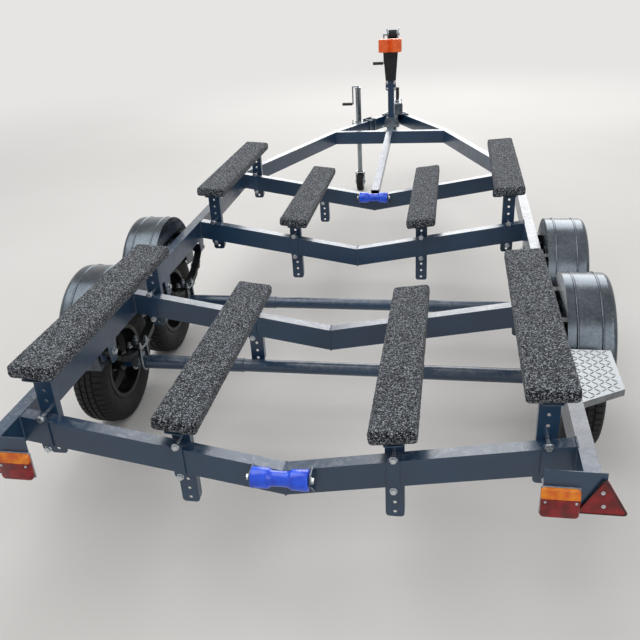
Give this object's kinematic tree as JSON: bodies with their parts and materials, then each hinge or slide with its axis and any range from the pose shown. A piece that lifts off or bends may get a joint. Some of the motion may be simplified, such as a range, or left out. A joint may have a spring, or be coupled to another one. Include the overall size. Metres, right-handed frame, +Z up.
{
  "type": "boat trailer",
  "caption": "Two-axle boat trailer with vee crossmembers, carpeted bunks on posts, keel rollers, winch post, jockey wheel, mudguards and rear lamps.",
  "frame": {"origin": "on the floor, at the middle of the trailer's length and width", "axes": "+X to the trailer's right, +Y forward to the coupling, +Z up"},
  "size_m": [2.34, 5.4902, 1.417],
  "materials": {
    "enamel": "satin blue-grey enamel",
    "carpet": "looped grey carpet",
    "tyre": "matte",
    "black_steel": "satin black",
    "galvanised": "galvanised",
    "checker_plate": "bright checker plate",
    "blue_roller": "satin polyurethane",
    "orange_rubber": "satin polyurethane",
    "black_plastic": "satin",
    "black_rubber": "matte",
    "amber_lens": "clear moulded",
    "red_lens": "clear moulded"
  },
  "bodies": {
    "chassis": {"axles": "enamel", "bow_stop": "orange_rubber", "bunk_posts": "enamel", "bunks_inner": "carpet", "bunks_outer": "carpet", "coupling_head": "galvanised", "coupling_lever": "black_plastic", "drawbar_left": "enamel", "drawbar_right": "enamel", "front_crossmember": "enamel", "front_rails": "enamel", "jockey_clamp": "galvanised", "jockey_grip": "black_plastic", "jockey_tube": "galvanised", "lamp_amber": "amber_lens", "lamp_bases": "black_plastic", "lamp_boards": "enamel", "lamp_red": "red_lens", "leaf_springs": "black_steel", "main_rails": "enamel", "mudguards": "galvanised", "post_clamps": "enamel", "post_foot": "galvanised", "reflectors": "red_lens", "roller_brackets": "galvanised", "side_brackets": "black_steel", "spine_tube": "enamel", "spring_hangers": "black_steel", "spring_seats": "galvanised", "steps": "checker_plate", "tongue_tube": "enamel", "vee_crossmembers": "enamel", "winch_bracket": "black_steel", "winch_frame": "galvanised", "winch_post": "enamel"},
    "wheel_rear_right": {"tyre_rear_right": "tyre", "rim_rear_right": "black_steel"},
    "wheel_rear_left": {"tyre_rear_left": "tyre", "rim_rear_left": "black_steel"},
    "wheel_front_right": {"tyre_front_right": "tyre", "rim_front_right": "black_steel"},
    "wheel_front_left": {"tyre_front_left": "tyre", "rim_front_left": "black_steel"},
    "roller_rear": {"keel_roller_rear": "blue_roller"},
    "roller_front": {"keel_roller_front": "blue_roller"},
    "winch_reel": {"winch_drum": "galvanised", "winch_crank": "galvanised", "winch_grip": "black_plastic"},
    "jockey_slide": {"jockey_leg": "galvanised"},
    "jockey_caster": {"jockey_fork": "galvanised"},
    "jockey_roll": {"jockey_wheel": "black_rubber"}
  },
  "joints": [
    {"name": "wheel_rear_right_spin", "type": "hinge", "parent": "chassis", "child": "wheel_rear_right", "pos_m": [1.08, -1.5399, 0.295], "axis": [1, 0, 0], "continuous": true},
    {"name": "wheel_rear_left_spin", "type": "hinge", "parent": "chassis", "child": "wheel_rear_left", "pos_m": [-1.08, -1.5399, 0.295], "axis": [1, 0, 0], "continuous": true},
    {"name": "wheel_front_right_spin", "type": "hinge", "parent": "chassis", "child": "wheel_front_right", "pos_m": [1.08, -0.8489, 0.295], "axis": [1, 0, 0], "continuous": true},
    {"name": "wheel_front_left_spin", "type": "hinge", "parent": "chassis", "child": "wheel_front_left", "pos_m": [-1.08, -0.8489, 0.295], "axis": [1, 0, 0], "continuous": true},
    {"name": "roller_rear_spin", "type": "hinge", "parent": "chassis", "child": "roller_rear", "pos_m": [0, -2.5939, 0.503], "axis": [1, 0, 0], "continuous": true},
    {"name": "roller_front_spin", "type": "hinge", "parent": "chassis", "child": "roller_front", "pos_m": [0, 0.4061, 0.503], "axis": [1, 0, 0], "continuous": true},
    {"name": "winch_turn", "type": "hinge", "parent": "chassis", "child": "winch_reel", "pos_m": [0, 2.2011, 1.366], "axis": [1, 0, 0], "continuous": true},
    {"name": "jockey_lift", "type": "slide", "parent": "chassis", "child": "jockey_slide", "axis": [0, 0, 1], "range_m": [-0.05, 0.22]},
    {"name": "jockey_swivel", "type": "hinge", "parent": "jockey_slide", "child": "jockey_caster", "pos_m": [-0.31853, 2.26135, 0.178], "axis": [0, 0, 1], "continuous": true},
    {"name": "jockey_spin", "type": "hinge", "parent": "jockey_caster", "child": "jockey_roll", "pos_m": [-0.31853, 2.26135, 0.08], "axis": [1, 0, 0], "continuous": true}
  ]
}
